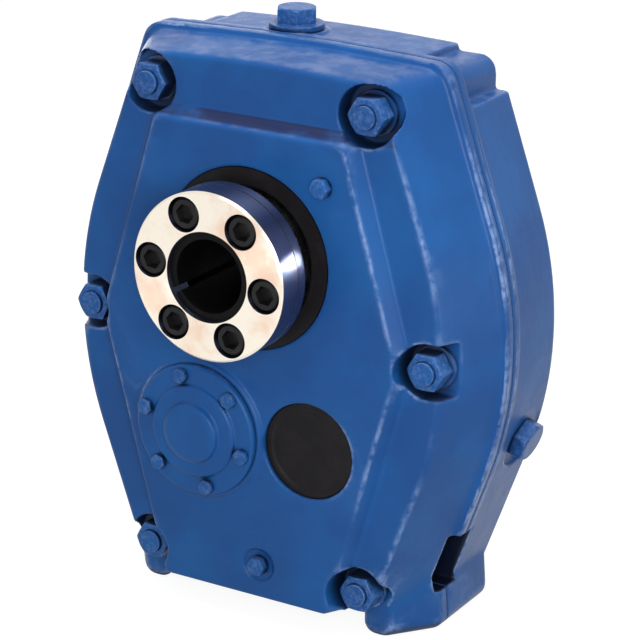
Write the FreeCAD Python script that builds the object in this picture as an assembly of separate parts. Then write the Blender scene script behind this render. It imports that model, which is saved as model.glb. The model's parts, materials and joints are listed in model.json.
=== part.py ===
import FreeCAD
import Part
import math
import os

# Shaft-mounted helical gear reducer, in millimetres.
# The origin is on the output axis, in the plane where the two case halves part.
# X runs to the right of the front face, Y from the front to the back, Z up.

# Gear train
stage1_module = 2.0
stage1_pinion_teeth = 21
stage1_gear_teeth = 61
stage1_helix = 15.0
stage1_width = 24.0
stage2_module = 3.0
stage2_pinion_teeth = 17
stage2_gear_teeth = 69
stage2_helix = 13.0
stage2_width = 36.0
stage_gap = 5.0
pair_shift = 6.5
pressure_angle = 20.0
backlash = 0.3
pinion_shift = 0.2
tip_height = 0.95
root_depth = 1.25
steps_of_twist = 10.0

# Output hub with its clamp collars
shaft_bore = 50.0
bush_wall = 5.0
neck_wall = 5.0
hub_step = 12.5
gear_seat_step = 2.5
hub_shoulder_step = 7.5
hub_reach = 19.0
backing_ring_width = 8.0
collar_rim = 14.0
collar_width = 19.5
collar_gap = 0.8
screw_circle_step = 8.5
collar_screw_count = 6
collar_screw_dia = 14.0
collar_screw_angle = 53.7
screw_head_dia = 21.0
screw_head_height = 14.0
screw_socket = 12.0
screw_head_gap = 1.5
screw_head_sink = 1.5
bush_taper = 0.05
bush_length = 68.0
bush_recess = 3.0
bush_slit = 4.0
bush_slit_angle = 208.0
hub_bore_step = 3.0

# Bearings and seals
output_bearing_section = 25.0
output_bearing_width = 16.0
output_seal_section = 15.0
output_seal_width = 12.0
seal_gap = 1.0
pinion_bearing_bore = 40.0
pinion_bearing_section = 14.0
pinion_bearing_width = 15.0
end_cap_width = 8.0
end_cap_sink = 3.0
ring_share = 0.25
roller_fill = 0.6
cage_share = 0.5
cage_end = 1.5
running_gap = 0.05
fit_gap = 0.02
seal_wall_share = 0.25

# Input shaft extension, keys and keyways
middle_seat_step = 2.0
shaft_shoulder_step = 3.0
input_shaft_step = 1.0
input_shaft_length = 80.0
input_key_width = 10.0
input_key_height = 8.0
input_key_length = 60.0
input_key_angle = 45.0
gear_key_width = 28.0
gear_key_height = 16.0
pinion_key_width = 12.0
pinion_key_height = 8.0
key_sink = 0.6
key_end_room = 2.0

# Webs of the two large gears
web_share = 0.27
rim_modules = 5.5
hub_modules = 4.0

# Case
gear_room = 4.5
top_room = 9.8
waist_room = 39.3
sump_room = 41.4
wall = 9.0
plateau_height = 11.0
plateau_slope = 6.0
flange_thickness = 9.0
flange_rim = 4.0
gasket_thickness = 0.4
side_lean = 19.8
side_flare = 21.0
rear_widening = 3.5
end_flare = 3.0
waist_bow = 260.0
top_arch = 4.0
bottom_arch = 2.0
corner_round = 16.0
front_edge_round = 4.0
back_edge_round = 4.0
boss_wall = 8.0
seat_lip = 3.0
plateau_top_inset = 41.0
plateau_side_inset = 18.5
plateau_waist_inset = 42.0
plateau_low_inset = 26.0

# Case bolts
bolt_dia = 16.0
bolt_hole_gap = 0.75
bolt_hex = 24.0
bolt_head_height = 10.0
nut_height = 14.8
washer_dia = 30.0
washer_thickness = 3.0
pocket_radius = 19.0
top_pocket_radius = 21.0
pocket_floor = 39.0
pocket_wall = 4.5
column_radius = 19.0
bolt_end = 2.5
bolt_side_inset = 7.4
bolt_top_inset = 21.6
bolt_bottom_inset = 16.0
bolt_waist_inset = 26.6
dowel_dia = 8.0
dowel_length = 14.0
washer_gap = 0.5
rear_pocket_gap = 1.5
pad_side = 31.0
pad_top = 20.0
pad_round = 12.0
pad_start = 2.5

# Feet and torque-arm slots
foot_drop = 20.0
foot_proud = 13.5
foot_front_proud = 4.0
foot_lean = 3.0
foot_inset = 4.0
foot_round = 9.0
foot_back_round = 7.0
slot_width = 24.0
slot_height = 43.0
slot_lift = 6.0
slot_eye_radius = 20.0
slot_mouth_angle = 60.0

# Covers and plugs
cover_flange_width = 14.0
cover_boss_rim = 3.0
cover_boss_height = 3.0
cover_flange = 5.0
cover_step_radius = 33.0
cover_step_height = 3.0
cover_dome_radius = 22.0
cover_dome_height = 5.0
cover_bolt_count = 6
cover_bolt_dia = 6.0
cover_bolt_hex = 10.0
cover_bolt_head = 4.0
cover_bolt_angle = 45.0
plug_hex = 26.0
plug_head = 11.0
plug_flange_dia = 38.0
plug_flange = 4.0
plug_thread_dia = 20.0
plug_thread = 14.0
plug_boss_dia = 44.0
plug_recess = 2.5
breather_x = -17.2
breather_back_room = 18.8
level_back_room = 2.0
level_drop = 2.6
drain_x = 11.0
drain_rise = 23.6
small_plug_hex = 12.0
small_plug_head = 7.0
small_plug_thread_dia = 10.0
small_plug_thread = 7.0
nipple_reach = 82.6
nipple_angle = 45.0

# Edges and allowances
chamfer = 1.5
head_chamfer = 1.0
hex_face_share = 0.95
corner_limit = 0.48
arch_share = 0.6
cut_margin = 1.0

# Sizes that follow from the ones above
collar_bore = shaft_bore + 2 * bush_wall
hub_bore = shaft_bore + 2 * hub_bore_step
neck_dia = collar_bore + 2 * neck_wall
hub_dia = neck_dia + 2 * hub_step
gear_seat_dia = hub_dia + 2 * gear_seat_step
hub_shoulder_dia = hub_dia + 2 * hub_shoulder_step
collar_screw_circle = neck_dia + 2 * screw_circle_step
collar_dia = collar_screw_circle + 2 * collar_rim
counterbore_dia = screw_head_dia + 2 * screw_head_gap
counterbore_depth = screw_head_height + screw_head_sink
output_bearing_od = hub_dia + 2 * output_bearing_section
output_seal_od = hub_dia + 2 * output_seal_section
pinion_bearing_od = pinion_bearing_bore + 2 * pinion_bearing_section
middle_seat_dia = pinion_bearing_bore + 2 * middle_seat_step
shaft_shoulder_dia = pinion_bearing_bore + 2 * shaft_shoulder_step
input_shaft_dia = pinion_bearing_bore - 2 * input_shaft_step
bolt_hole_dia = bolt_dia + 2 * bolt_hole_gap
cover_radius = cover_step_radius + cover_flange_width
cover_boss_radius = cover_radius + cover_boss_rim
cover_bolt_circle = cover_step_radius + cover_radius
gears_half = (stage1_width + stage_gap + stage2_width) / 2
inner_half = gears_half + gear_room
case_half = inner_half + output_bearing_width + seal_gap + output_seal_width
stage2_front = -gears_half
stage2_back = stage2_front + stage2_width
stage1_front = stage2_back + stage_gap
stage1_back = stage1_front + stage1_width
ledge_y = -(case_half - plateau_height)
joint_half = gasket_thickness / 2


def pitch_radius(module, teeth, helix):
    return module * teeth / (2 * math.cos(math.radians(helix)))


def centre_distance(module, teeth_a, teeth_b, helix):
    return pitch_radius(module, teeth_a + teeth_b, helix)


stage1_distance = centre_distance(stage1_module, stage1_pinion_teeth, stage1_gear_teeth, stage1_helix)
stage2_distance = centre_distance(stage2_module, stage2_pinion_teeth, stage2_gear_teeth, stage2_helix)
input_x = pair_shift + stage1_distance / 2
middle_x = pair_shift - stage1_distance / 2
pinion_z = -math.sqrt(stage2_distance ** 2 - middle_x ** 2)
output_axis = (0.0, 0.0)
input_axis = (input_x, pinion_z)
middle_axis = (middle_x, pinion_z)
output_gear_tip = pitch_radius(stage2_module, stage2_gear_teeth, stage2_helix) + stage2_module
middle_gear_tip = pitch_radius(stage1_module, stage1_gear_teeth, stage1_helix) + stage1_module

lean_slope = math.tan(math.radians(side_lean))
top_z = output_gear_tip + top_room + wall
bottom_z = pinion_z - middle_gear_tip - sump_room - wall
waist_z = (top_z + bottom_z) / 2
waist_half = output_gear_tip + waist_room + wall
top_half = waist_half - lean_slope * (top_z - waist_z)
foot_z = bottom_z - foot_drop
foot_outer = top_half + side_flare + foot_proud

top_bolt_x = top_half - bolt_side_inset
top_bolt_z = top_z - bolt_top_inset
foot_bolt_x = top_half - bolt_side_inset
foot_bolt_z = bottom_z + bolt_bottom_inset
waist_bolt_x = waist_half - bolt_waist_inset
front_pocket_places = []
for side in (-1, 1):
    front_pocket_places += [
        (side * top_bolt_x, top_bolt_z, top_pocket_radius),
        (side * waist_bolt_x, waist_z, pocket_radius),
        (side * foot_bolt_x, foot_bolt_z, pocket_radius),
    ]
bolt_places = [place[:2] for place in front_pocket_places]

collar_inner_y = case_half + hub_reach + backing_ring_width + collar_gap
collar_outer_y = collar_inner_y + collar_width
bush_outer_y = collar_outer_y - bush_recess
bush_inner_y = bush_outer_y - bush_length
hub_end_y = case_half + hub_reach + backing_ring_width
cap_face_y = case_half - end_cap_sink
bearing_back_y = cap_face_y - end_cap_width - seal_gap
bearing_front_y = bearing_back_y - pinion_bearing_width


def point(x, y, z):
    return FreeCAD.Vector(x, y, z)


def rod(radius, y_from, y_to, axis=output_axis):
    return Part.makeCylinder(radius, y_to - y_from, point(axis[0], y_from, axis[1]), point(0, 1, 0))


def ring(outer, inner, y_from, y_to, axis=output_axis):
    return rod(outer, y_from, y_to, axis).cut(rod(inner, y_from - cut_margin, y_to + cut_margin, axis))


def turned(profile, axis=output_axis):
    """Solid of revolution about an axis along Y, from (radius, y) corners."""
    corners = [point(axis[0] + radius, y, axis[1]) for radius, y in profile]
    face = Part.Face(Part.makePolygon(corners + corners[:1]))
    return face.revolve(point(axis[0], 0, axis[1]), point(0, 1, 0), 360)


def mirrored(shape):
    """The same piece on the other side of the parting plane."""
    return shape.mirror(point(0, 0, 0), point(0, 1, 0))


def around(shape, angle, axis=output_axis):
    """A copy turned in the front view, from X towards Z."""
    copy = shape.copy()
    copy.rotate(point(axis[0], 0, axis[1]), point(0, -1, 0), angle)
    return copy


def circle_of(shape, count, first_angle, axis=output_axis):
    return [around(shape, first_angle + index * 360.0 / count, axis) for index in range(count)]


def hexagon(across_flats, y_from, y_to, axis=output_axis):
    corner = across_flats / math.sqrt(3)
    corners = []
    for index in range(6):
        angle = math.radians(60 * index)
        corners.append(point(axis[0] + corner * math.cos(angle), y_from, axis[1] + corner * math.sin(angle)))
    face = Part.Face(Part.makePolygon(corners + corners[:1]))
    return face.extrude(point(0, y_to - y_from, 0))


def hex_head(across_flats, y_from, y_to, axis=output_axis):
    """Hexagon whose outer corners, at y_to, are turned off at thirty degrees."""
    corner = across_flats / math.sqrt(3)
    step = 1 if y_to > y_from else -1
    face_radius = across_flats * hex_face_share / 2
    slope = (corner - face_radius) * math.tan(math.radians(30)) * step
    profile = [(0, y_from), (corner, y_from), (corner, y_to - slope), (face_radius, y_to), (0, y_to)]
    return hexagon(across_flats, y_from, y_to, axis).common(turned(profile, axis))


def rounded_outline(corners, y):
    """Closed outline in the plane y, from (x, z, radius) corners joined by tangent arcs."""
    count = len(corners)
    starts = []
    edges = []
    for index in range(count):
        here = point(corners[index][0], y, corners[index][1])
        before = point(corners[index - 1][0], y, corners[index - 1][1]) - here
        after_corner = corners[(index + 1) % count]
        after = point(after_corner[0], y, after_corner[1]) - here
        half_angle = before.getAngle(after) / 2
        room = corner_limit * min(before.Length, after.Length)
        reach = min(corners[index][2] / math.tan(half_angle), room)
        radius = reach * math.tan(half_angle)
        into = here + before.normalize() * reach
        out = here + after.normalize() * reach
        middle = here + (before + after).normalize() * (radius / math.sin(half_angle) - radius)
        starts.append((into, middle, out))
    for index in range(count):
        into, middle, out = starts[index]
        edges.append(Part.Arc(into, middle, out).toShape())
        edges.append(Part.LineSegment(out, starts[(index + 1) % count][0]).toShape())
    return Part.Wire(edges)


def slab(wire, y_to):
    y_from = wire.BoundBox.YMin
    return Part.Face(wire).extrude(point(0, y_to - y_from, 0))


def case_outline(y, side, end):
    """Six-sided bowed outline of the case, grown by side and end."""
    arch_round = arch_share * (top_half + side) ** 2
    half_side = [
        (0.0, top_z + end + top_arch, arch_round / top_arch),
        (top_half + side, top_z + end, corner_round),
        (waist_half + side, waist_z, waist_bow),
        (top_half + side, bottom_z - end, corner_round),
        (0.0, bottom_z - end - bottom_arch, arch_round / bottom_arch),
    ]
    other_side = [(-x, z, radius) for x, z, radius in reversed(half_side[1:4])]
    return rounded_outline(half_side + other_side, y)


def edges_at(shape, y):
    """Edges that lie in the plane y."""
    found = []
    for edge in shape.Edges:
        box = edge.BoundBox
        if abs(box.YMin - y) < 1e-4 and abs(box.YMax - y) < 1e-4:
            found.append(edge)
    return found


def tooth_half_angle(radius, pitch, base, thickness):
    """Half the angle that a tooth covers at a radius."""
    def involute(at):
        ratio = min(1.0, base / at)
        return math.tan(math.acos(ratio)) - math.acos(ratio)
    return thickness / (2 * pitch) + involute(pitch) - involute(max(radius, base))


def helical_gear(teeth, module, helix, hand, y_from, y_to, axis, first_angle, shift):
    """Toothed cylinder: involute flanks drawn in the cross-section and swept along the helix."""
    pitch = pitch_radius(module, teeth, helix)
    turn = math.radians(helix)
    pressure = math.atan(math.tan(math.radians(pressure_angle)) / math.cos(turn))
    base = pitch * math.cos(pressure)
    tip = pitch + module * (tip_height + shift)
    root = pitch - module * (root_depth - shift)
    thickness = (module * (math.pi / 2 + 2 * shift * math.tan(pressure)) - backlash / 2) / math.cos(turn)
    radii = (root, (max(root, base) + tip) / 2, tip)
    half_angles = [tooth_half_angle(radius, pitch, base, thickness) for radius in radii]
    twist = (y_to - y_from) * math.tan(turn) / pitch
    count = max(2, 1 + math.ceil(math.degrees(twist) / steps_of_twist))
    sections = []
    for section in range(count):
        share = section / (count - 1)
        y = y_from + share * (y_to - y_from)
        start = math.radians(first_angle) + hand * twist * (share - 0.5)

        def on_flank(tooth, side, step):
            angle = start + tooth * 2 * math.pi / teeth + side * half_angles[step]
            return point(axis[0] + radii[step] * math.cos(angle), y, axis[1] + radii[step] * math.sin(angle))

        edges = []
        for tooth in range(teeth):
            rising = [on_flank(tooth, -1, step) for step in (0, 1, 2)]
            falling = [on_flank(tooth, 1, step) for step in (2, 1, 0)]
            edges.append(Part.Arc(rising[0], rising[1], rising[2]).toShape())
            edges.append(Part.LineSegment(rising[2], falling[0]).toShape())
            edges.append(Part.Arc(falling[0], falling[1], falling[2]).toShape())
            edges.append(Part.LineSegment(falling[2], on_flank(tooth + 1, -1, 0)).toShape())
        sections.append(edges)
    faces = [Part.Face(Part.Wire(sections[0])), Part.Face(Part.Wire(sections[-1]))]
    for near, distant in zip(sections, sections[1:]):
        faces += [Part.makeRuledSurface(edge_a, edge_b) for edge_a, edge_b in zip(near, distant)]
    shell = Part.makeShell(faces)
    shell.sewShape()
    solid = Part.makeSolid(shell)
    if solid.Volume < 0:
        solid.reverse()
    return solid


def sunk_key(width, height, y_from, y_to, axis, seat_radius):
    """Round-ended key lying along Y on the top of a shaft."""
    centre = axis[0]
    low = axis[1] + seat_radius - height * key_sink
    wire_corners = [
        (centre - width / 2, y_from), (centre + width / 2, y_from),
        (centre + width / 2, y_to), (centre - width / 2, y_to),
    ]
    corners = [point(x, y, low) for x, y in wire_corners]
    block = Part.Face(Part.makePolygon(corners + corners[:1])).extrude(point(0, 0, height))
    upright = [edge for edge in block.Edges if abs(edge.BoundBox.ZLength - height) < 1e-4]
    return block.makeFillet(width * corner_limit, upright)


def placed(shape, direction, at):
    """A piece made along Y, turned to a direction and moved to a point."""
    copy = shape.copy()
    copy.Placement = FreeCAD.Placement(at, FreeCAD.Rotation(point(0, 1, 0), direction))
    return copy


parts = {}

# Case: outer forms
far = 4 * case_half
across = point(1, 0, 0)
centre = point(0, 0, 0)
flare_depth = -flange_thickness - ledge_y


def flare_at(y):
    """How far the front half has widened at a depth, as a share of the whole."""
    return (y - ledge_y) / flare_depth


def plateau_outline(y, grow):
    """Six-sided raised face of the front half."""
    low = bottom_z - bottom_arch / 4
    corners = [
        (top_half - plateau_side_inset + grow, top_z - plateau_top_inset + grow, corner_round / 2),
        (waist_half - plateau_waist_inset + grow, waist_z, corner_round),
        (top_half - plateau_low_inset + grow, low, front_edge_round),
    ]
    other_side = [(-x, z, radius) for x, z, radius in reversed(corners)]
    return rounded_outline(corners + other_side, y)


def foot_outline(side, y, outer):
    """Corner foot that also carries the torque-arm slot."""
    inner = foot_bolt_x - foot_inset
    joins = foot_bolt_z + slot_height
    corners = [
        (side * inner, joins, front_edge_round),
        (side * inner, foot_z, foot_round),
        (side * outer, foot_z, foot_round),
        (side * (outer - foot_lean), foot_bolt_z, foot_round),
        (side * (outer - side_flare), joins, foot_round),
    ]
    return rounded_outline(corners, y)


front_body = Part.makeLoft([
    case_outline(ledge_y, 0, 0),
    case_outline(-flange_thickness, side_flare, end_flare),
], True, True)
front_body = front_body.makeFillet(front_edge_round, edges_at(front_body, ledge_y))
plateau = Part.makeLoft([
    plateau_outline(-case_half, 0),
    plateau_outline(ledge_y, plateau_slope),
], True, True)
plateau_base = slab(plateau_outline(ledge_y, plateau_slope), ledge_y + front_edge_round)
flange_side = side_flare + flange_rim
flange_end = end_flare + flange_rim
flange_front = slab(case_outline(-flange_thickness, flange_side, flange_end), -joint_half)
cover_boss = rod(cover_boss_radius, -case_half - cover_boss_height, -case_half + wall, middle_axis)
front_form = front_body.fuse([plateau, plateau_base, flange_front, cover_boss])

rear_side = side_flare + rear_widening
rear_tub = slab(case_outline(flange_thickness, rear_side, end_flare), case_half)
rear_tub = rear_tub.makeFillet(back_edge_round, edges_at(rear_tub, case_half))
corner_pad = Part.makeBox(far, far, far, point(top_bolt_x + pad_side - far, 0, top_bolt_z + pad_top - far))
pad_corner = [edge for edge in corner_pad.Edges
              if edge.BoundBox.XMin > top_bolt_x and edge.BoundBox.ZMin > top_bolt_z]
corner_pad = corner_pad.makeFillet(pad_round, pad_corner)
corner_step = Part.makeBox(far, far, far, point(top_bolt_x + pad_start, 0, top_bolt_z - pad_start))
corner_step = corner_step.cut(corner_pad)
rear_tub = rear_tub.cut([corner_step, corner_step.mirror(centre, across)])
flange_rear = slab(case_outline(joint_half, flange_side, flange_end), flange_thickness)
rear_form = rear_tub.fuse(flange_rear)
foot_back = case_half - back_edge_round
foot_front_outer = top_half + side_flare * flare_at(-pocket_floor) + foot_front_proud
for side in (-1, 1):
    front_foot = Part.makeLoft([
        foot_outline(side, -pocket_floor, foot_front_outer),
        foot_outline(side, -flange_thickness, foot_outer),
    ], True, True)
    front_foot = front_foot.makeChamfer(chamfer, edges_at(front_foot, -pocket_floor))
    rear_foot = slab(foot_outline(side, joint_half, foot_outer), foot_back)
    rear_foot = rear_foot.makeFillet(foot_back_round, edges_at(rear_foot, foot_back))
    joint_foot = slab(foot_outline(side, -flange_thickness, foot_outer), -joint_half)
    front_form = front_form.fuse([front_foot, joint_foot])
    rear_form = rear_form.fuse(rear_foot)

# Case: the hollow, less the bolt columns, slot walls and bearing bosses that stand in it
hollow_front = ledge_y + wall
front_hollow = Part.makeLoft([
    case_outline(hollow_front, side_flare * flare_at(hollow_front) - wall, -wall),
    case_outline(-joint_half, side_flare - wall, end_flare - wall),
], True, True)
front_hollow = front_hollow.fuse(slab(plateau_outline(-case_half + wall, -wall), hollow_front + cut_margin))
rear_hollow = slab(case_outline(joint_half, side_flare - wall, end_flare - wall), case_half - wall)
rear_pocket_radius = washer_dia / 2 + rear_pocket_gap
pocket_back = pocket_floor - pocket_wall
columns = []
for bolt_x, bolt_z, radius in front_pocket_places:
    place = (bolt_x, bolt_z)
    columns.append(rod(column_radius, -case_half, case_half, place))
    columns.append(rod(rear_pocket_radius + pocket_wall, pocket_back, case_half, place))
    columns.append(rod(radius + pocket_wall, -case_half, -pocket_back, place))


def ways_out(half, y_from, y_to):
    """Straight ways from the two waist bolts to the outside of the case."""
    block = Part.makeBox(far, y_to - y_from, 2 * half, point(waist_bolt_x, y_from, waist_z - half))
    return [block, block.mirror(centre, across)]


columns += ways_out(pocket_radius + pocket_wall, -case_half, -pocket_back)


def torque_arm_slot(grow):
    """Round eye at the foot bolt with a mouth that widens to the side, grown by a wall."""
    eye = slot_eye_radius + grow
    half = slot_width / 2 + grow
    low = foot_bolt_z - slot_lift - grow
    high = foot_bolt_z - slot_lift + slot_height + grow
    leaves = math.radians(slot_mouth_angle)
    mouth = [
        (foot_bolt_x, low), (far, low), (far, high), (foot_outer, high),
        (foot_bolt_x + eye * math.cos(leaves), foot_bolt_z + eye * math.sin(leaves)),
        (foot_bolt_x, foot_bolt_z),
    ]
    corners = [point(x, -half, z) for x, z in mouth]
    mouth_form = Part.Face(Part.makePolygon(corners + corners[:1])).extrude(point(0, 2 * half, 0))
    return mouth_form.fuse(rod(eye, -half, half, (foot_bolt_x, foot_bolt_z)))


slot = torque_arm_slot(0)
slot_wall = torque_arm_slot(wall)
slots = [slot, slot.mirror(centre, across)]
columns += [slot_wall, slot_wall.mirror(centre, across)]
output_seat = output_bearing_od / 2 + fit_gap
pinion_seat = pinion_bearing_od / 2 + fit_gap
bosses = [rod(output_seat + boss_wall, inner_half, case_half)]
for axis in (input_axis, middle_axis):
    bosses.append(rod(pinion_seat + boss_wall, bearing_front_y - seat_lip, case_half, axis))
rear_hollow = rear_hollow.cut(columns + bosses)
front_hollow = front_hollow.cut(columns + [mirrored(boss) for boss in bosses])

# Case: bores, bolt pockets and holes
bores = [
    rod(output_seat, 0, inner_half + output_bearing_width + fit_gap),
    rod(output_seal_od / 2 + fit_gap, 0, far),
]
for axis in (input_axis, middle_axis):
    bores.append(rod(pinion_seat, bearing_front_y - fit_gap, far, axis))
    bores.append(rod(pinion_seat - seat_lip, 0, far, axis))
front_bores = [mirrored(bore) for bore in bores]
bolt_holes = [rod(bolt_hole_dia / 2, -far, far, place) for place in bolt_places]
front_pockets = [rod(radius, -far, -pocket_floor, (x, z)) for x, z, radius in front_pocket_places]
front_pockets += ways_out(pocket_radius, -far, -pocket_floor)
rear_pockets = [rod(rear_pocket_radius, pocket_floor, far, place) for place in bolt_places]
dowel_x = foot_bolt_x / 2
dowel_out = (flange_end + end_flare - wall) / 2
arch_left = 1 - dowel_x / (top_half + flange_side)
dowel_places = [
    (-dowel_x, bottom_z - dowel_out - bottom_arch * arch_left),
    (dowel_x, top_z + dowel_out + top_arch * arch_left),
]
dowel_hole_end = dowel_length / 2 + seal_gap
dowel_holes = [rod(dowel_dia / 2 + fit_gap, -dowel_hole_end, dowel_hole_end, place) for place in dowel_places]

# Plug seats
breather_seat = top_z + end_flare + top_arch + seal_gap
breather_y = case_half - plug_boss_dia / 2 - breather_back_room
breather_at = point(breather_x, breather_y, breather_seat)
level_y = case_half - plug_boss_dia / 2 - level_back_room
level_z = pinion_z - level_drop
level_x = waist_half + rear_side - lean_slope * (waist_z - level_z)
level_out = point(math.cos(math.radians(side_lean)), 0, -math.sin(math.radians(side_lean)))
level_at = point(level_x, level_y, level_z) - level_out * plug_recess
drain_at = point(drain_x, -case_half + plug_recess, bottom_z + drain_rise)
nipple_turn = math.radians(nipple_angle)
nipple_at = point(nipple_reach * math.cos(nipple_turn), -case_half, nipple_reach * math.sin(nipple_turn))
upward = point(0, 0, 1)
forward = point(0, -1, 0)
plug_hole = rod(plug_thread_dia / 2 + fit_gap, -far / 4, 0)
plug_spot = rod(plug_boss_dia / 2, 0, case_half)
small_hole = rod(small_plug_thread_dia / 2 + fit_gap, -small_plug_thread - seal_gap, 0)
small_spot = rod(small_plug_hex, 0, case_half)
boss_reach = plug_thread + seal_gap
rear_form = rear_form.fuse([
    placed(rod(plug_boss_dia / 2, -boss_reach, 0), upward, breather_at),
    placed(rod(plug_boss_dia / 2, -boss_reach, -seal_gap), level_out, level_at),
])
front_housing = front_form.cut([front_hollow] + front_bores)
front_housing = front_housing.cut(bolt_holes + slots + dowel_holes + front_pockets)
front_housing = front_housing.cut([
    placed(small_hole, forward, drain_at), placed(small_spot, forward, drain_at),
    placed(small_hole, forward, nipple_at),
])
rear_housing = rear_form.cut([rear_hollow] + bores)
rear_housing = rear_housing.cut(bolt_holes + slots + dowel_holes + rear_pockets)
rear_housing = rear_housing.cut([
    placed(plug_hole, upward, breather_at), placed(plug_hole, level_out, level_at),
    placed(plug_spot, upward, breather_at), placed(plug_spot, level_out, level_at),
])
cover_bolt_hole = rod(cover_bolt_dia / 2 + fit_gap, -case_half - wall, -case_half + wall,
                      (middle_axis[0] + cover_bolt_circle / 2, middle_axis[1]))
front_housing = front_housing.cut(circle_of(cover_bolt_hole, cover_bolt_count, cover_bolt_angle, middle_axis))
parts["front_housing"] = front_housing
parts["rear_housing"] = rear_housing

# Gasket, bolts, nuts, washers and dowels
gasket = slab(case_outline(-joint_half, flange_side, flange_end), joint_half)
gasket = gasket.fuse([slab(foot_outline(side, -joint_half, foot_outer), joint_half) for side in (-1, 1)])
gasket_window = slab(case_outline(-joint_half, side_flare - wall, end_flare - wall), joint_half).cut(columns)
gasket = gasket.cut([gasket_window] + bolt_holes + slots + dowel_holes)
parts["parting_gasket"] = max(gasket.Solids, key=lambda solid: solid.Volume)
bolts = []
nuts = []
washers = []
for axis in bolt_places:
    under_head = pocket_floor + washer_thickness
    nut_face = -under_head - nut_height
    shank = rod(bolt_dia / 2, nut_face - bolt_end, under_head, axis)
    bolts.append(shank.fuse(hex_head(bolt_hex, under_head, under_head + bolt_head_height, axis)))
    nut = hex_head(bolt_hex, -under_head, nut_face, axis)
    nuts.append(nut.cut(rod(bolt_dia / 2 + fit_gap, nut_face - cut_margin, -under_head + cut_margin, axis)))
    for face in (pocket_floor, -under_head):
        washers.append(ring(washer_dia / 2, bolt_dia / 2 + washer_gap, face, face + washer_thickness, axis))
parts["case_bolts"] = Part.makeCompound(bolts)
parts["case_nuts"] = Part.makeCompound(nuts)
parts["case_washers"] = Part.makeCompound(washers)
parts["dowel_pins"] = Part.makeCompound([
    rod(dowel_dia / 2, -dowel_length / 2, dowel_length / 2, place) for place in dowel_places
])

# Output hub, its gear and what clamps the driven shaft
hub_radius = hub_dia / 2
neck_radius = neck_dia / 2
neck_start = case_half + hub_reach
hub = turned([
    (hub_bore / 2, -hub_end_y), (neck_radius, -hub_end_y), (neck_radius, -neck_start),
    (hub_radius, -neck_start), (hub_radius, -inner_half), (hub_shoulder_dia / 2, -inner_half),
    (hub_shoulder_dia / 2, stage2_front), (gear_seat_dia / 2, stage2_front), (gear_seat_dia / 2, stage2_back),
    (hub_radius, stage2_back), (hub_radius, neck_start), (neck_radius, neck_start),
    (neck_radius, hub_end_y), (hub_bore / 2, hub_end_y),
])
bush_front = collar_bore / 2
bush_joint = bush_front + bush_taper * (bush_outer_y - collar_inner_y)
bush_tail = bush_joint - bush_taper * (hub_end_y - bush_inner_y)
seat_joint = bush_joint + running_gap
seat_tail = bush_tail + running_gap - bush_taper * seal_gap
bush_seat = turned([
    (0, hub_end_y + cut_margin), (seat_joint, hub_end_y + cut_margin), (seat_joint, hub_end_y),
    (seat_tail, bush_inner_y - seal_gap), (0, bush_inner_y - seal_gap),
])
hub = hub.cut([bush_seat, mirrored(bush_seat)])
gear_key = sunk_key(gear_key_width, gear_key_height, stage2_front + key_end_room, stage2_back - key_end_room,
                    output_axis, gear_seat_dia / 2)
hub = hub.cut(gear_key)
parts["output_hub"] = hub
parts["output_gear_key"] = gear_key

to_middle = math.degrees(math.atan2(middle_axis[1], middle_axis[0]))
output_gear = helical_gear(stage2_gear_teeth, stage2_module, stage2_helix, 1, stage2_front, stage2_back,
                           output_axis, to_middle, -pinion_shift)
web_recess = stage2_width * web_share
rim_inside = output_gear_tip - rim_modules * stage2_module
hub_outside = hub_shoulder_dia / 2 + hub_modules * stage2_module
output_gear = output_gear.cut([
    ring(rim_inside, hub_outside, stage2_front, stage2_front + web_recess),
    ring(rim_inside, hub_outside, stage2_back - web_recess, stage2_back),
    rod(gear_seat_dia / 2 + fit_gap, stage2_front - cut_margin, stage2_back + cut_margin),
])
key_room = sunk_key(gear_key_width + 2 * fit_gap, gear_key_height + fit_gap, stage2_front - stage2_width,
                    stage2_back + stage2_width, output_axis, gear_seat_dia / 2)
parts["output_gear"] = output_gear.cut(key_room)
parts["gear_spacer"] = ring(hub_shoulder_dia / 2, hub_radius + fit_gap, stage2_back, inner_half)

ring_hole = rod(collar_screw_dia / 2 + fit_gap, 0, far, (collar_screw_circle / 2, 0))
head_room = rod(counterbore_dia / 2, collar_outer_y - counterbore_depth, far, (collar_screw_circle / 2, 0))
backing_ring = ring(collar_dia / 2, neck_radius + fit_gap, neck_start, hub_end_y)
backing_ring = backing_ring.cut(circle_of(ring_hole, collar_screw_count, collar_screw_angle))
collar = turned([
    (seat_joint, collar_inner_y), (collar_dia / 2, collar_inner_y),
    (collar_dia / 2, collar_outer_y - chamfer), (collar_dia / 2 - chamfer, collar_outer_y),
    (bush_front + running_gap, collar_outer_y), (bush_front + running_gap, bush_outer_y),
])
collar = collar.cut(circle_of(ring_hole, collar_screw_count, collar_screw_angle))
collar = collar.cut(circle_of(head_room, collar_screw_count, collar_screw_angle))
bush = turned([
    (shaft_bore / 2, bush_outer_y), (bush_front, bush_outer_y), (bush_joint, collar_inner_y),
    (bush_joint, hub_end_y), (bush_tail, bush_inner_y), (shaft_bore / 2, bush_inner_y),
])
slit = Part.makeBox(far, 2 * far, bush_slit, point(0, -far, -bush_slit / 2))
bush = bush.cut(around(slit, bush_slit_angle))
screw_seat = collar_outer_y - counterbore_depth
screw_top = screw_seat + screw_head_height
screw_axis = (collar_screw_circle / 2, 0)
screw_tip = neck_start + backing_ring_width / 8
screw = rod(collar_screw_dia / 2, screw_tip, screw_seat, screw_axis)
screw_head = turned([
    (0, screw_seat), (screw_head_dia / 2, screw_seat), (screw_head_dia / 2, screw_top - head_chamfer),
    (screw_head_dia / 2 - head_chamfer, screw_top), (0, screw_top),
], screw_axis)
socket = hexagon(screw_socket, screw_top - screw_head_height / 2, far, screw_axis)
screw = screw.fuse(screw_head).cut(socket)
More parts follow.
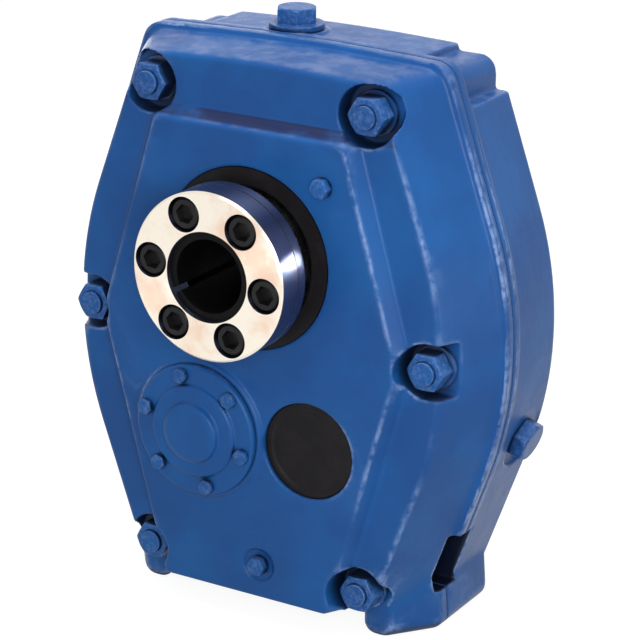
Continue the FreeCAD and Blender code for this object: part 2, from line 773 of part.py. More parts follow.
screws = Part.makeCompound(circle_of(screw, collar_screw_count, collar_screw_angle))
for place, face in (("front", mirrored), ("rear", Part.Shape.copy)):
    parts[place + "_backing_ring"] = face(backing_ring)
    parts[place + "_clamp_collar"] = face(collar)
    parts[place + "_taper_bush"] = face(bush)
    parts[place + "_collar_screws"] = face(screws)

# Intermediate shaft with its pinion and gear
shoulder = shaft_shoulder_dia / 2
journal = pinion_bearing_bore / 2
shaft_end = bearing_back_y + seal_gap / 2
middle_shaft = turned([
    (0, -shaft_end), (journal, -shaft_end), (journal, -bearing_front_y), (shoulder, -bearing_front_y),
    (shoulder, stage2_front), (middle_seat_dia / 2, stage2_front), (middle_seat_dia / 2, stage1_back),
    (journal, stage1_back), (journal, shaft_end), (0, shaft_end),
], middle_axis)
pinion_space = to_middle + 180.0 + 180.0 / stage2_pinion_teeth
middle_pinion = helical_gear(stage2_pinion_teeth, stage2_module, stage2_helix, -1, stage2_front, stage2_back,
                             middle_axis, pinion_space, pinion_shift)
pinion_key = sunk_key(pinion_key_width, pinion_key_height, stage1_front + key_end_room,
                      stage1_back - key_end_room, middle_axis, middle_seat_dia / 2)
parts["intermediate_shaft"] = middle_shaft.fuse(middle_pinion).cut(pinion_key)
parts["intermediate_gear_key"] = pinion_key
middle_gear = helical_gear(stage1_gear_teeth, stage1_module, stage1_helix, -1, stage1_front, stage1_back,
                           middle_axis, 0.0, -pinion_shift)
middle_recess = stage1_width * web_share
middle_rim = middle_gear_tip - rim_modules * stage1_module
middle_hub = middle_seat_dia / 2 + hub_modules * stage1_module
middle_key_room = sunk_key(pinion_key_width + 2 * fit_gap, pinion_key_height + fit_gap,
                           stage1_front - stage1_width, stage1_back + stage1_width, middle_axis,
                           middle_seat_dia / 2)
parts["intermediate_gear"] = middle_gear.cut([
    ring(middle_rim, middle_hub, stage1_front, stage1_front + middle_recess, middle_axis),
    ring(middle_rim, middle_hub, stage1_back - middle_recess, stage1_back, middle_axis),
    rod(middle_seat_dia / 2 + fit_gap, stage1_front - cut_margin, stage1_back + cut_margin, middle_axis),
    middle_key_room,
])
parts["intermediate_spacer"] = ring(shoulder, journal + fit_gap, stage1_back, bearing_front_y, middle_axis)

# Input shaft with its pinion and keyway
extension = input_shaft_dia / 2
neck = (journal + extension) / 2
input_end = case_half + input_shaft_length
collar_end = bearing_front_y - gear_room
input_shaft = turned([
    (0, -shaft_end), (journal, -shaft_end), (journal, -bearing_front_y), (shoulder, -bearing_front_y),
    (shoulder, -collar_end), (neck, -collar_end), (neck, collar_end), (shoulder, collar_end),
    (shoulder, bearing_front_y), (journal, bearing_front_y), (journal, case_half + seal_gap),
    (extension, case_half + seal_gap), (extension, input_end - chamfer), (extension - chamfer, input_end),
    (0, input_end),
], input_axis)
input_pinion = helical_gear(stage1_pinion_teeth, stage1_module, stage1_helix, 1, stage1_front, stage1_back,
                            input_axis, 180.0 + 180.0 / stage1_pinion_teeth, pinion_shift)
key_end = input_end - (input_shaft_length - input_key_length) / 2
input_keyway = sunk_key(input_key_width, input_key_height, key_end - input_key_length, key_end, input_axis,
                        extension)
input_keyway = around(input_keyway, input_key_angle, input_axis)
parts["input_shaft"] = input_shaft.fuse(input_pinion).cut(input_keyway)


# Bearings and seals
def bearing(name, bore, outside, y_from, width, axis):
    """Outer and inner ring, the rollers between them and the cage that spaces the rollers."""
    thickness = ring_share * (outside - bore) / 2
    inner_track = bore / 2 + thickness
    outer_track = outside / 2 - thickness
    y_to = y_from + width
    parts[name + "_outer_ring"] = ring(outside / 2, outer_track, y_from, y_to, axis)
    parts[name + "_inner_ring"] = ring(inner_track, bore / 2 + fit_gap, y_from, y_to, axis)
    roller_radius = (outer_track - inner_track) / 2 - running_gap
    roller_circle = (outer_track + inner_track) / 2
    roller_count = math.floor(roller_fill * math.pi * roller_circle / roller_radius)
    roller_axis = (axis[0] + roller_circle, axis[1])
    roller_from = y_from + 2 * cage_end
    roller_to = y_to - 2 * cage_end
    roller = rod(roller_radius, roller_from, roller_to, roller_axis)
    room = rod(roller_radius + running_gap, roller_from - running_gap, roller_to + running_gap, roller_axis)
    cage_inside = roller_circle - cage_share * roller_radius
    cage_outside = roller_circle + cage_share * roller_radius
    cage = ring(cage_outside, cage_inside, y_from + cage_end, y_to - cage_end, axis)
    parts[name + "_rollers"] = Part.makeCompound(circle_of(roller, roller_count, 0.0, axis))
    parts[name + "_cage"] = cage.cut(circle_of(room, roller_count, 0.0, axis))


bearing("output_front", hub_dia, output_bearing_od, -inner_half - output_bearing_width, output_bearing_width,
        output_axis)
bearing("output_rear", hub_dia, output_bearing_od, inner_half, output_bearing_width, output_axis)
for name, axis in (("input", input_axis), ("intermediate", middle_axis)):
    for place, y_from in (("_front", -bearing_back_y), ("_rear", bearing_front_y)):
        bearing(name + place, pinion_bearing_bore, pinion_bearing_od, y_from, pinion_bearing_width, axis)


def lip_seal(shaft_dia, outside, y_from, y_to, axis):
    """Rubber seal ring with a lip that reaches the shaft half-way along."""
    body_radius = shaft_dia / 2 + seal_wall_share * (outside - shaft_dia) / 2
    lip = (y_from + y_to) / 2
    half_lip = (y_to - y_from) / 8
    lip_radius = shaft_dia / 2 + running_gap
    return turned([
        (body_radius, y_from), (outside / 2, y_from), (outside / 2, y_to), (body_radius, y_to),
        (lip_radius, lip + half_lip), (lip_radius, lip - half_lip),
    ], axis)


front_seal = lip_seal(hub_dia, output_seal_od, -case_half, -case_half + output_seal_width, output_axis)
parts["front_output_seal"] = front_seal
parts["rear_output_seal"] = mirrored(front_seal)
parts["input_seal"] = lip_seal(pinion_bearing_bore, pinion_bearing_od, cap_face_y - end_cap_width, cap_face_y,
                               input_axis)

# End caps and the bolted cover
cap_radius = pinion_bearing_od / 2
cap_dish = end_cap_width / 4
end_cap = turned([
    (0, cap_face_y - end_cap_width), (cap_radius, cap_face_y - end_cap_width),
    (cap_radius, cap_face_y - chamfer / 2), (cap_radius - chamfer / 2, cap_face_y),
    (cap_radius - 2 * cap_dish, cap_face_y),
    (cap_radius - 3 * cap_dish, cap_face_y - cap_dish / 2), (0, cap_face_y - cap_dish / 2),
])
input_cap = mirrored(end_cap)
input_cap.translate(point(input_axis[0], 0, input_axis[1]))
parts["input_end_cap"] = input_cap
middle_cap = end_cap.copy()
middle_cap.translate(point(middle_axis[0], 0, middle_axis[1]))
parts["intermediate_end_cap"] = middle_cap

cover_seat = case_half + cover_boss_height
flange_face = cover_seat + cover_flange
step_face = flange_face + cover_step_height
dome_face = step_face + cover_dome_height
spigot = cap_radius
spigot_inside = spigot - boss_wall
cover = turned([
    (0, dome_face), (cover_dome_radius - cover_dome_height, dome_face),
    (cover_dome_radius - cover_dome_height / 4, dome_face - cover_dome_height / 4),
    (cover_dome_radius, dome_face - cover_dome_height), (cover_step_radius - chamfer, step_face),
    (cover_step_radius, step_face - chamfer), (cover_step_radius, flange_face),
    (cover_radius - chamfer, flange_face),
    (cover_radius, flange_face - chamfer), (cover_radius, cover_seat), (spigot, cover_seat),
    (spigot, bearing_back_y + fit_gap), (spigot_inside, bearing_back_y + fit_gap),
    (spigot_inside, flange_face), (0, flange_face),
])
cover_hole_axis = (cover_bolt_circle / 2, 0)
cover_hole = rod(cover_bolt_dia / 2 + fit_gap, 0, far, cover_hole_axis)
cover = cover.cut(circle_of(cover_hole, cover_bolt_count, 180.0 - cover_bolt_angle))
cover_bolt = rod(cover_bolt_dia / 2, case_half - wall / 2, flange_face, cover_hole_axis)
cover_bolt_top = flange_face + cover_bolt_head
cover_bolt = cover_bolt.fuse(hex_head(cover_bolt_hex, flange_face, cover_bolt_top, cover_hole_axis))
cover_bolts = Part.makeCompound(circle_of(cover_bolt, cover_bolt_count, 180.0 - cover_bolt_angle))
for name, shape in (("intermediate_cover", cover), ("cover_bolts", cover_bolts)):
    piece = shape.copy()
    piece.rotate(centre, upward, 180)
    piece.translate(point(middle_axis[0], 0, middle_axis[1]))
    parts[name] = piece

# Plugs
plug = rod(plug_thread_dia / 2, -plug_thread, 0).fuse([
    rod(plug_flange_dia / 2, 0, plug_flange),
    hex_head(plug_hex, plug_flange, plug_flange + plug_head),
])
level_plug = rod(plug_thread_dia / 2, -plug_thread, 0).fuse(hex_head(plug_hex, 0, plug_head))
small_plug = rod(small_plug_thread_dia / 2, -small_plug_thread, 0).fuse(
    hex_head(small_plug_hex, 0, small_plug_head))
parts["breather_plug"] = placed(plug, upward, breather_at)
parts["level_plug"] = placed(level_plug, level_out, level_at)
parts["drain_plug"] = placed(small_plug, forward, drain_at)
parts["grease_plug"] = placed(small_plug, forward, nipple_at)

os.makedirs("parts", exist_ok=True)
for name, shape in parts.items():
    print(name, len(shape.Solids), shape.isValid(), round(shape.Volume))
    shape.exportStep("parts/" + name + ".step")
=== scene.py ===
import json
import math

import bpy
from mathutils import Matrix, Vector

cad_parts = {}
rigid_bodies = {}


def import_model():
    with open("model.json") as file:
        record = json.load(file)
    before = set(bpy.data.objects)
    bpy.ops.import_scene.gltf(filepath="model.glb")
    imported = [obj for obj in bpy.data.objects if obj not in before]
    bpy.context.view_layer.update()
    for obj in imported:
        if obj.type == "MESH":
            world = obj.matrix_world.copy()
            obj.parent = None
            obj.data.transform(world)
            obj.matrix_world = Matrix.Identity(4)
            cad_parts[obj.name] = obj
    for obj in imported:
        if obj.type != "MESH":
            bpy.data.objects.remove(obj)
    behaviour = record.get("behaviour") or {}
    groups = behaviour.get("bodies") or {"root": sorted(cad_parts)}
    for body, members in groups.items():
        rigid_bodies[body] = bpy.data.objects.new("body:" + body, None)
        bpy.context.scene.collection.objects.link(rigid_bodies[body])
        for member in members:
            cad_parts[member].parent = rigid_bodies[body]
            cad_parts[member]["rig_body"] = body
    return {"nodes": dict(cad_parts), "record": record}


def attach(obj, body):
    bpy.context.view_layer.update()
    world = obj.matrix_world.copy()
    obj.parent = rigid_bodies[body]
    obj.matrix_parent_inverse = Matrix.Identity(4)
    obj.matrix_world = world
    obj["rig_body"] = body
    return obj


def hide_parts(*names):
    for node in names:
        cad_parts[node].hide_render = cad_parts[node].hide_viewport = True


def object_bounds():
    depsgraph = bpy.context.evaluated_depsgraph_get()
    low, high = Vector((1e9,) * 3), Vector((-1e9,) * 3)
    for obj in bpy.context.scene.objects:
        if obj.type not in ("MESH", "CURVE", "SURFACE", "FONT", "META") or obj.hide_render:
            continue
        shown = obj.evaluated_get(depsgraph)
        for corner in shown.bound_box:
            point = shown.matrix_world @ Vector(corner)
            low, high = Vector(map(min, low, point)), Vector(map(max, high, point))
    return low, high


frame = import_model()
cad_low, cad_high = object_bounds()
nodes = frame["nodes"]
scene = bpy.context.scene

# Camera, as solved from the photograph: pixels, millimetres of sensor, degrees and metres
image_size = 640
sensor_width = 36.0
camera_azimuth = 30.49
camera_elevation = 19.44
camera_roll = 0.77
camera_distance = 1.7314
focal_pixels = 2620.6
target_right = 0.04976
target_up = -0.03974
target_depth = 0.066

# Cast pieces: voxels in metres, the share of the faces that is kept, and rounds of smoothing
housing_voxel = 0.0009
housing_faces = 0.10
housing_passes = 18
cover_voxel = 0.0006
cover_faces = 0.3
cover_passes = 4
fitting_voxel = 0.0004
fitting_faces = 0.3
fitting_passes = 4
cast_smoothing = 0.5
joint_zone = 0.0015

# Edges of the turned and pressed pieces
edge_width = 0.0004
fine_edge_width = 0.00025
edge_angle = 32.0
edge_segments = 2

# Colours, linear
white = (1.0, 1.0, 1.0, 1.0)
paint_blue = (0.011, 0.094, 0.31, 1.0)
paint_deep = (0.010, 0.070, 0.25, 1.0)
# Worn paint, and on the side edges painted highlight
paint_worn_and_lit = (0.20, 0.30, 0.56, 1.0)
# Pale dust and painted sheen on what faces up
dust_and_sheen_pale = (0.40, 0.42, 0.58, 1.0)
# Painted shade for corners, holes and the slot walls
painted_shade_dark = (0.004, 0.007, 0.020, 1.0)
# Painted shade along the crease above the raised front face
ledge_shade_navy = (0.014, 0.016, 0.055, 1.0)
steel_cream = (0.89, 0.82, 0.71, 1.0)
steel_rose = (0.84, 0.62, 0.48, 1.0)
# Painted reflection on the collar's rim
rim_reflection_navy = (0.10, 0.12, 0.21, 1.0)
steel_grey = (0.42, 0.43, 0.45, 1.0)
steel_pale = (0.62, 0.63, 0.65, 1.0)
# The hub's darker steel: painted reflection of the black seal
hub_dark_grey = (0.20, 0.20, 0.21, 1.0)
# The bushes' near black: their own dark finish and painted shade in their bores
bush_near_black = (0.003, 0.003, 0.003, 1.0)
# Black oxide, also used as painted shade in bores and holes
oxide_and_shade_black = (0.006, 0.006, 0.007, 1.0)
oxide_worn = (0.022, 0.020, 0.019, 1.0)
rubber_black = (0.005, 0.004, 0.005, 1.0)
rubber_dust = (0.012, 0.010, 0.013, 1.0)
brass_warm = (0.50, 0.34, 0.12, 1.0)
brass_dull = (0.36, 0.23, 0.08, 1.0)

# Radii inside which the collar's and the hub's bores are painted black as shade
collar_inside = 0.0306
hub_inside = 0.0335
bore_blur = 0.0003

# Walls of the torque-arm slots, painted black as shade
slot_inside = 0.06
slot_half = 0.0123
slot_floor = -0.2336
slot_top = -0.1895
slot_blur = 0.0006

# Crease above the raised front face, painted dark as shade
ledge_front = -0.054
ledge_low = 0.0895
ledge_high = 0.0940
ledge_blur = 0.0012
ledge_strength = 0.85

# Edges lightened, partly as wear and partly as painted highlight: none by the joint, all of them towards
# the sides
joint_near = 0.002
joint_far = 0.005
side_from = 0.060
side_to = 0.085
wear_and_highlight_strength = 0.88

# Pale dust and painted sheen on what faces up, by the normal's height
level_from = 0.7
level_to = 1.0
dust_and_sheen_strength = 0.20

# Corners and holes painted dark as shade, by the share of open sky round them
shelter_samples = 8
wide_corners = dict(distance=0.020, open_share=0.72, closed_share=0.22)
wide_strength = 0.92
close_corners = dict(distance=0.005, open_share=0.80, closed_share=0.35)
close_strength = 0.75
collar_holes = dict(distance=0.010, open_share=0.6, closed_share=0.3)

# Patches of tone, wear, dust, painted highlight and painted shade: cycles per metre, and the levels of
# noise that become 0 and 1
paint_tone = dict(scale=14.0, detail=4.0, low=0.35, high=0.68)
edge_breaks = dict(scale=160.0, detail=4.0, low=0.30, high=0.62)
edge_stretches = dict(scale=11.0, detail=2.0, low=0.40, high=0.60)
dust_and_sheen_specks = dict(scale=60.0, detail=5.0, roughness=0.65, low=0.38, high=0.70)
scuff_marks = dict(scale=300.0, detail=6.0, roughness=0.7, low=0.40, high=0.80)
ledge_streaks = dict(scale=22.0, detail=3.0, low=0.30, high=0.55)
metal_mottle = dict(scale=55.0, detail=5.0, roughness=0.6, low=0.32, high=0.68)
collar_stains = dict(scale=24.0, detail=4.0, roughness=0.6, low=0.47, high=0.70)
dull_dust = dict(scale=45.0, detail=5.0, roughness=0.6, low=0.42, high=0.75)

# Uneven gloss: noise in cycles per metre
paint_gloss = dict(scale=40.0, detail=3.0)
paint_rough = (0.30, 0.46)
metal_gloss = dict(scale=110.0, detail=4.0)
collar_gloss = dict(scale=60.0, detail=4.0)
dull_gloss = dict(scale=150.0, detail=3.0)

# Relief: noise in cycles per metre, depths in metres
cast_grain = dict(scale=420.0, detail=5.0, roughness=0.6)
cast_relief = dict(distance=0.0006, strength=0.22)
peel_grain = dict(scale=70.0, detail=2.0)
peel_relief = dict(distance=0.002, strength=0.18)
ring_grain = dict(scale=1400.0, detail=2.0)
ring_relief = dict(distance=0.00025, strength=0.4)
oxide_grain = dict(grain=600.0, depth=0.0003)
ground_grain = dict(grain=900.0, depth=0.0002)
bearing_grain = dict(grain=1200.0, depth=0.0001)
brass_grain = dict(grain=700.0, depth=0.0002)
rubber_grain = dict(grain=800.0, depth=0.0003)
sealant_grain = dict(grain=500.0, depth=0.0003)
grain_detail = 4.0
metal_strength = 0.25
dull_strength = 0.3

# Collar: how far its surface faces along the hub where the rim ends and the face's rings start
rim_from = 0.55
rim_to = 0.25
rings_from = 0.5
rings_to = 0.9

# Floor and world
floor_half = 6.0
floor_corners = ((-1, -1), (1, -1), (1, 1), (-1, 1))
floor_glow = 0.90
floor_white = (0.22, 0.22, 0.22, 1.0)
world_light = 0.45
world_seen = 1.0

# Pieces that share a treatment
housings = ("front_housing", "rear_housing")
fittings = ("case_nuts", "case_bolts", "breather_plug", "level_plug", "drain_plug", "grease_plug",
            "cover_bolts")
bushes = ("front_taper_bush", "rear_taper_bush")
rings = ("case_washers", "front_clamp_collar", "rear_clamp_collar", "front_backing_ring",
         "rear_backing_ring")
fine_pieces = ("front_collar_screws", "rear_collar_screws", *bushes, "input_end_cap")


def feed(tree, socket, value):
    """Link a socket, or give it a constant."""
    if isinstance(value, bpy.types.NodeSocket):
        tree.links.new(value, socket)
    else:
        socket.default_value = value


def add(tree, kind, settings=None, inputs=None):
    """Add a shader node, with its settings and its inputs as values or links."""
    made = tree.nodes.new(kind)
    for name, value in (settings or {}).items():
        setattr(made, name, value)
    for name, value in (inputs or {}).items():
        feed(tree, made.inputs[name], value)
    return made


def noise(tree, place, scale, detail, roughness=0.55):
    """Noise over the piece's own coordinates, in cycles per metre."""
    inputs = {"Vector": place, "Scale": scale, "Detail": detail, "Roughness": roughness}
    return add(tree, "ShaderNodeTexNoise", None, inputs).outputs["Fac"]


def spread(tree, value, low, high):
    """Stretch a value so that low becomes 0 and high becomes 1."""
    settings = {"interpolation_type": "SMOOTHSTEP"}
    inputs = {"Value": value, "From Min": low, "From Max": high}
    return add(tree, "ShaderNodeMapRange", settings, inputs).outputs["Result"]


def patches(tree, place, low, high, **pattern):
    """Noise in patches, 0 below its low level and 1 above its high one."""
    return spread(tree, noise(tree, place, **pattern), low, high)


def between(tree, share, low, high):
    """A value from low to high, by a share from 0 to 1."""
    inputs = {"Value": share, "To Min": low, "To Max": high}
    return add(tree, "ShaderNodeMapRange", None, inputs).outputs["Result"]


def blend_colours(tree, share, first, second):
    """Mix two colours by a share from 0 to 1."""
    made = add(tree, "ShaderNodeMix", {"data_type": "RGBA"}, {0: share, 6: first, 7: second})
    return made.outputs[2]


def math_node(tree, operation, *values):
    """An operation on values or links."""
    made = add(tree, "ShaderNodeMath", {"operation": operation}, dict(enumerate(values)))
    return made.outputs[0]


def scaled(tree, *values):
    """The product of values."""
    total = values[0]
    for value in values[1:]:
        total = math_node(tree, "MULTIPLY", total, value)
    return total


def axis_of(tree, vector, axis):
    """One coordinate of a vector."""
    return add(tree, "ShaderNodeSeparateXYZ", None, {"Vector": vector}).outputs[axis]


def size_along(tree, vector, axis):
    """One coordinate of a vector, without its sign."""
    return math_node(tree, "ABSOLUTE", axis_of(tree, vector, axis))


def hub_radius(tree, place):
    """Distance from the hub's axis."""
    across = math_node(tree, "POWER", axis_of(tree, place, "X"), 2.0)
    upward = math_node(tree, "POWER", axis_of(tree, place, "Z"), 2.0)
    return math_node(tree, "SQRT", math_node(tree, "ADD", across, upward))


def in_slot(tree, place):
    """1 on the walls of the torque-arm slots, which are painted black as shade."""
    deep = size_along(tree, place, "Y")
    height = axis_of(tree, place, "Z")
    return scaled(tree, spread(tree, size_along(tree, place, "X"), slot_inside, slot_inside + slot_blur),
                  spread(tree, deep, slot_half + slot_blur, slot_half),
                  spread(tree, height, slot_floor - slot_blur, slot_floor),
                  spread(tree, height, slot_top + slot_blur, slot_top))


def on_ledge(tree, place):
    """1 along the crease above the raised front face, which is painted dark as shade."""
    deep = axis_of(tree, place, "Y")
    height = axis_of(tree, place, "Z")
    return scaled(tree, spread(tree, deep, ledge_front + ledge_blur, ledge_front),
                  spread(tree, height, ledge_low - ledge_blur, ledge_low),
                  spread(tree, height, ledge_high + ledge_blur, ledge_high))


def bumped(tree, height, distance, strength, normal=None):
    """A normal that follows a height, in metres."""
    inputs = {"Height": height, "Distance": distance, "Strength": strength}
    if normal:
        inputs["Normal"] = normal
    return add(tree, "ShaderNodeBump", None, inputs).outputs["Normal"]


materials = {}


def new_material(name):
    """Start a named material: its tree, its shader and the piece's own coordinates."""
    made = bpy.data.materials.new(name)
    made.use_nodes = True
    materials[name] = made
    tree = made.node_tree
    place = add(tree, "ShaderNodeTexCoord").outputs["Object"]
    return tree, tree.nodes["Principled BSDF"], place


def shade(tree, shader, **sockets):
    """Set or link the shader's sockets, named with underscores for spaces."""
    for name, value in sockets.items():
        feed(tree, shader.inputs[name.replace("_", " ")], value)


def sheltered(tree, distance, open_share, closed_share):
    """1 deep in corners and holes, 0 in the open."""
    settings = {"samples": shelter_samples}
    share = add(tree, "ShaderNodeAmbientOcclusion", settings, {"Distance": distance}).outputs["AO"]
    return spread(tree, share, open_share, closed_share)


def paint_material(name, edge_from, edge_to, scuffed):
    """Enamel over a cast surface: lighter at worn and scuffed spots and, as painted highlight, along the
    side edges; pale dust and painted sheen on what faces up; painted shade in the corners, the slot
    walls and the crease.
    """
    tree, shader, place = new_material(name)
    surface = add(tree, "ShaderNodeNewGeometry")
    colour = blend_colours(tree, patches(tree, place, **paint_tone), paint_deep, paint_blue)
    # Light edges: partly worn paint, partly painted highlight
    worn_and_lit = scaled(tree, spread(tree, surface.outputs["Pointiness"], edge_from, edge_to),
                  patches(tree, place, **edge_breaks), patches(tree, place, **edge_stretches),
                  spread(tree, size_along(tree, place, "Y"), joint_near, joint_far),
                  spread(tree, size_along(tree, place, "X"), side_from, side_to), wear_and_highlight_strength)
    colour = blend_colours(tree, worn_and_lit, colour, paint_worn_and_lit)
    # Up-facing surfaces paler: partly dust, partly painted sheen
    level = spread(tree, axis_of(tree, surface.outputs["Normal"], "Z"), level_from, level_to)
    dust_and_sheen = scaled(tree, level, patches(tree, place, **dust_and_sheen_specks), dust_and_sheen_strength)
    colour = blend_colours(tree, dust_and_sheen, colour, dust_and_sheen_pale)
    scuffs = scaled(tree, patches(tree, place, **scuff_marks), scuffed)
    colour = blend_colours(tree, scuffs, colour, paint_worn_and_lit)
    # Painted shade: darker in corners and holes, by ambient occlusion
    for corners, strength in ((wide_corners, wide_strength), (close_corners, close_strength)):
        colour = blend_colours(tree, scaled(tree, sheltered(tree, **corners), strength), colour, painted_shade_dark)
    # Painted shade: the walls of the torque-arm slots black
    colour = blend_colours(tree, in_slot(tree, place), colour, painted_shade_dark)
    # Painted shade along the crease above the raised front face
    crease_shade = scaled(tree, on_ledge(tree, place), patches(tree, place, **ledge_streaks), ledge_strength)
    colour = blend_colours(tree, crease_shade, colour, ledge_shade_navy)
    cast = bumped(tree, noise(tree, place, **cast_grain), **cast_relief)
    peel = bumped(tree, noise(tree, place, **peel_grain), **peel_relief, normal=cast)
    gloss = between(tree, noise(tree, place, **paint_gloss), *paint_rough)
    shade(tree, shader, Base_Color=colour, Roughness=gloss, Normal=peel, Specular_IOR_Level=0.16)
    shade(tree, shader, Coat_Weight=0.06, Coat_Roughness=0.2)


def metal_material(name, pale, dark, rough, grain, depth, inside=0.0):
    """Bare metal with a fine machined grain and a mottled tone, painted black as shade inside a radius.
    """
    tree, shader, place = new_material(name)
    colour = blend_colours(tree, patches(tree, place, **metal_mottle), dark, pale)
    # Painted shade: black inside the bore's radius
    bore_shade = spread(tree, hub_radius(tree, place), inside + bore_blur, inside)
    colour = blend_colours(tree, bore_shade, colour, oxide_and_shade_black)
    gloss = between(tree, noise(tree, place, **metal_gloss), *rough)
    machined = bumped(tree, noise(tree, place, grain, grain_detail), depth, metal_strength)
    shade(tree, shader, Base_Color=colour, Roughness=gloss, Normal=machined, Metallic=1.0)


def collar_material(name, rough):
    """Turned steel: fine rings round the hub's axis on the face, a polished rim with a painted dark blue
    reflection.
    """
    tree, shader, place = new_material(name)
    colour = blend_colours(tree, patches(tree, place, **collar_stains), steel_cream, steel_rose)
    reach = hub_radius(tree, place)
    # Painted shade: the collar's bore black
    bore_shade = spread(tree, reach, collar_inside + bore_blur, collar_inside)
    colour = blend_colours(tree, bore_shade, colour, oxide_and_shade_black)
    # Painted shade: the collar's screw holes black
    colour = blend_colours(tree, sheltered(tree, **collar_holes), colour, oxide_and_shade_black)
    facing = size_along(tree, add(tree, "ShaderNodeTexCoord").outputs["Normal"], "Y")
    # Painted reflection: the rim darkened to navy
    colour = blend_colours(tree, spread(tree, facing, rim_from, rim_to), colour, rim_reflection_navy)
    ring_place = add(tree, "ShaderNodeCombineXYZ", None, {"X": reach}).outputs["Vector"]
    on_face = spread(tree, facing, rings_from, rings_to)
    turned = bumped(tree, scaled(tree, noise(tree, ring_place, **ring_grain), on_face), **ring_relief)
    gloss = between(tree, noise(tree, place, **collar_gloss), *rough)
    grain = add(tree, "ShaderNodeTangent", {"direction_type": "RADIAL", "axis": "Y"}).outputs["Tangent"]
    shade(tree, shader, Base_Color=colour, Roughness=gloss, Normal=turned, Metallic=1.0)
    shade(tree, shader, Anisotropic=0.97, Anisotropic_Rotation=0.25, Tangent=grain)


def dull_material(name, base, dust, rough, grain, depth, shine):
    """Rubber, black oxide or sealant with a little dust."""
    tree, shader, place = new_material(name)
    colour = blend_colours(tree, patches(tree, place, **dull_dust), base, dust)
    gloss = between(tree, noise(tree, place, **dull_gloss), *rough)
    grained = bumped(tree, noise(tree, place, grain, grain_detail), depth, dull_strength)
    shade(tree, shader, Base_Color=colour, Roughness=gloss, Normal=grained, Specular_IOR_Level=shine)


paint_material("blue_paint", edge_from=0.502, edge_to=0.517, scuffed=0.0)
paint_material("cover_paint", edge_from=0.512, edge_to=0.56, scuffed=0.0)
paint_material("scuffed_paint", edge_from=0.51, edge_to=0.56, scuffed=0.42)
collar_material("bright_steel", rough=(0.23, 0.27))
dull_material("black_steel", oxide_and_shade_black, oxide_worn, rough=(0.22, 0.42), shine=0.22, **oxide_grain)
# Bushes nearly black, darker than oxide: their own dark finish and painted shade in their bores
dull_material("bush_black", bush_near_black, oxide_and_shade_black, rough=(0.3, 0.45), shine=0.08, **oxide_grain)
metal_material("ground_steel", steel_pale, steel_grey, rough=(0.22, 0.38), **ground_grain)
# The hub's steel is darker than the shafts' as a painted reflection, and black inside its bore as
# painted shade
metal_material("hub_steel_darkened", steel_grey, hub_dark_grey, rough=(0.2, 0.34), inside=hub_inside, **ground_grain)
metal_material("bearing_steel", steel_pale, steel_pale, rough=(0.08, 0.16), **bearing_grain)
metal_material("cage_brass", brass_warm, brass_dull, rough=(0.25, 0.4), **brass_grain)
dull_material("seal_rubber", rubber_black, rubber_dust, rough=(0.42, 0.62), shine=0.15, **rubber_grain)
dull_material("gasket_sealant", paint_deep, paint_blue, rough=(0.4, 0.6), shine=0.2, **sealant_grain)

# Finishes: the node's own slot, except where a piece is darkened as painted shade and reflection,
# scuffed or less worn
slots = {entry["node"]: entry["material_slot"] for entry in frame["record"]["subparts"]}
finishes = {"output_hub": "hub_steel_darkened", "intermediate_cover": "cover_paint"}
finishes.update(dict.fromkeys(bushes, "bush_black"))
finishes.update(dict.fromkeys(fittings, "scuffed_paint"))


def dress(obj, node):
    """Give a piece the one material of its node."""
    obj.data.materials.clear()
    obj.data.materials.append(materials[finishes.get(node, slots[node])])


for name, obj in nodes.items():
    dress(obj, name)


# Cast pieces: the solid's own form with the rounded edges of a casting
def settle(obj):
    """Make the result of a piece's modifiers its mesh."""
    graph = bpy.context.evaluated_depsgraph_get()
    final = bpy.data.meshes.new_from_object(obj.evaluated_get(graph))
    obj.modifiers.clear()
    obj.data = final


def cast_copy(name, voxel, faces, passes):
    """Put a copy with soft edges in place of a solid."""
    made = bpy.data.objects.new(name + "_cast", nodes[name].data.copy())
    scene.collection.objects.link(made)
    remesh = made.modifiers.new("remesh", "REMESH")
    remesh.mode = "VOXEL"
    remesh.voxel_size = voxel
    settle(made)
    soft = made.vertex_groups.new(name="soft")
    away = [vertex.index for vertex in made.data.vertices if abs(vertex.co.y) > joint_zone]
    soft.add(away, 1.0, "REPLACE")
    smooth = made.modifiers.new("smooth", "SMOOTH")
    smooth.factor = cast_smoothing
    smooth.iterations = passes
    smooth.vertex_group = soft.name
    thin = made.modifiers.new("thin", "DECIMATE")
    thin.ratio = faces
    settle(made)
    made.vertex_groups.clear()
    made.data.shade_smooth()
    dress(made, name)
    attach(made, nodes[name]["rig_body"])
    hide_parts(name)


for name in housings:
    cast_copy(name, housing_voxel, housing_faces, housing_passes)
cast_copy("intermediate_cover", cover_voxel, cover_faces, cover_passes)
for name in fittings:
    cast_copy(name, fitting_voxel, fitting_faces, fitting_passes)


def break_edges(name, width):
    """Round a piece's sharp edges a little."""
    bevel = nodes[name].modifiers.new("edges", "BEVEL")
    bevel.width = width
    bevel.segments = edge_segments
    bevel.limit_method = "ANGLE"
    bevel.angle_limit = math.radians(edge_angle)
    bevel.harden_normals = True


for name in rings:
    break_edges(name, edge_width)
for name in fine_pieces:
    break_edges(name, fine_edge_width)

# Floor
floor_mesh = bpy.data.meshes.new("floor")
floor_points = [(x * floor_half, y * floor_half, cad_low.z) for x, y in floor_corners]
floor_mesh.from_pydata(floor_points, [], [(0, 1, 2, 3)])
floor = bpy.data.objects.new("floor", floor_mesh)
scene.collection.objects.link(floor)


def seen_rays(tree):
    """1 for camera, glossy and transmission rays, 0 for the rest."""
    path = add(tree, "ShaderNodeLightPath")
    total = path.outputs["Is Camera Ray"]
    for kind in ("Is Glossy Ray", "Is Transmission Ray"):
        total = math_node(tree, "MAXIMUM", total, path.outputs[kind])
    return total


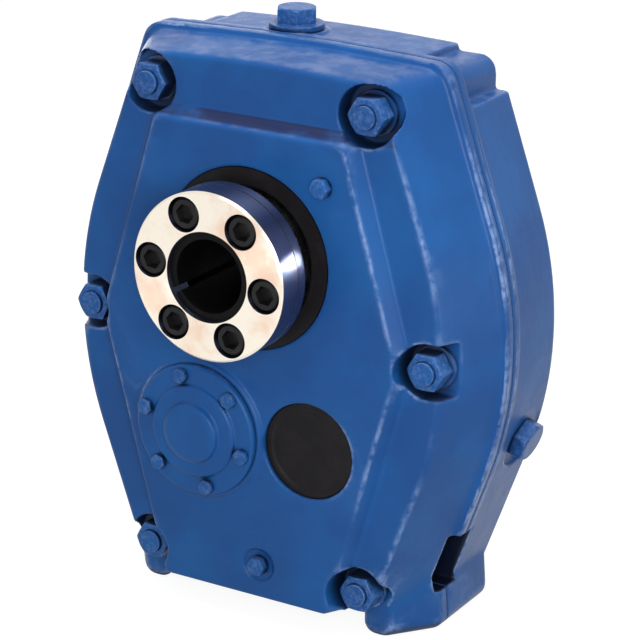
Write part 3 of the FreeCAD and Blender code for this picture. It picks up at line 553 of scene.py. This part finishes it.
def floor_material():
    """White where it is seen, with the object's soft shadow on it."""
    made = bpy.data.materials.new("floor_white")
    made.use_nodes = True
    tree = made.node_tree
    tree.nodes.clear()
    matt = add(tree, "ShaderNodeBsdfDiffuse", None, {"Color": floor_white})
    glow = add(tree, "ShaderNodeEmission", None, {"Strength": scaled(tree, seen_rays(tree), floor_glow)})
    both = add(tree, "ShaderNodeAddShader", None, {0: matt.outputs[0], 1: glow.outputs[0]})
    add(tree, "ShaderNodeOutputMaterial", None, {"Surface": both.outputs[0]})
    return made


def studio_world():
    """White where it is seen, softer as a light."""
    made = bpy.data.worlds.new("studio")
    made.use_nodes = True
    tree = made.node_tree
    sky = tree.nodes["Background"]
    strength = between(tree, seen_rays(tree), world_light, world_seen)
    shade(tree, sky, Color=white, Strength=strength)
    return made


floor_mesh.materials.append(floor_material())
scene.world = studio_world()


# Lamps: soft boxes round the object, and a narrow beam on the collar's rim
def soft_box(name, place, aim, size, power, beam=math.pi):
    """A rectangular lamp that faces a point, with the angle of its beam."""
    data = bpy.data.lights.new(name, "AREA")
    data.shape = "RECTANGLE"
    data.size, data.size_y = size
    data.energy = power
    data.spread = beam
    lamp = bpy.data.objects.new(name, data)
    lamp.location = place
    lamp.rotation_euler = (Vector(aim) - Vector(place)).to_track_quat("-Z", "Y").to_euler()
    scene.collection.objects.link(lamp)


middle = (cad_low + cad_high) / 2
collar_rim = (0.057, -0.105, 0.02)
narrow_beam = math.radians(2)
soft_box("key", place=(0.65, -1.1, 0.25), aim=middle, size=(0.6, 0.6), power=10.5)
soft_box("top_box", place=(0.15, -0.1, 1.4), aim=middle, size=(0.9, 0.9), power=16.0)
soft_box("side_box", place=(1.3, -0.1, -0.05), aim=middle, size=(0.4, 0.3), power=2.0)
soft_box("back_box", place=(-0.9, 1.1, 0.0), aim=middle, size=(1.0, 0.4), power=4.0)
soft_box("collar_snoot", place=(1.535, 0.045, 0.23), aim=collar_rim, size=(0.02, 0.10), power=0.12,
         beam=narrow_beam)

# Camera at the photograph's viewing angle
azimuth = math.radians(camera_azimuth)
elevation = math.radians(camera_elevation)
roll = math.radians(camera_roll)
level_right = Vector((math.cos(azimuth), math.sin(azimuth), 0))
back = Vector((math.sin(azimuth) * math.cos(elevation), -math.cos(azimuth) * math.cos(elevation),
               math.sin(elevation)))
level_up = back.cross(level_right)
image_right = level_right * math.cos(roll) + level_up * math.sin(roll)
image_up = level_up * math.cos(roll) - level_right * math.sin(roll)
turn = Matrix((image_right, image_up, back)).transposed().to_4x4()
target = target_right * level_right + target_up * level_up - Vector((0, target_depth, 0))
camera_data = bpy.data.cameras.new("camera")
camera_data.sensor_width = sensor_width
camera_data.lens = sensor_width * focal_pixels / image_size
camera = bpy.data.objects.new("camera", camera_data)
camera.matrix_world = Matrix.Translation(target + camera_distance * back) @ turn
scene.collection.objects.link(camera)
scene.camera = camera
scene.view_settings.view_transform = "Standard"
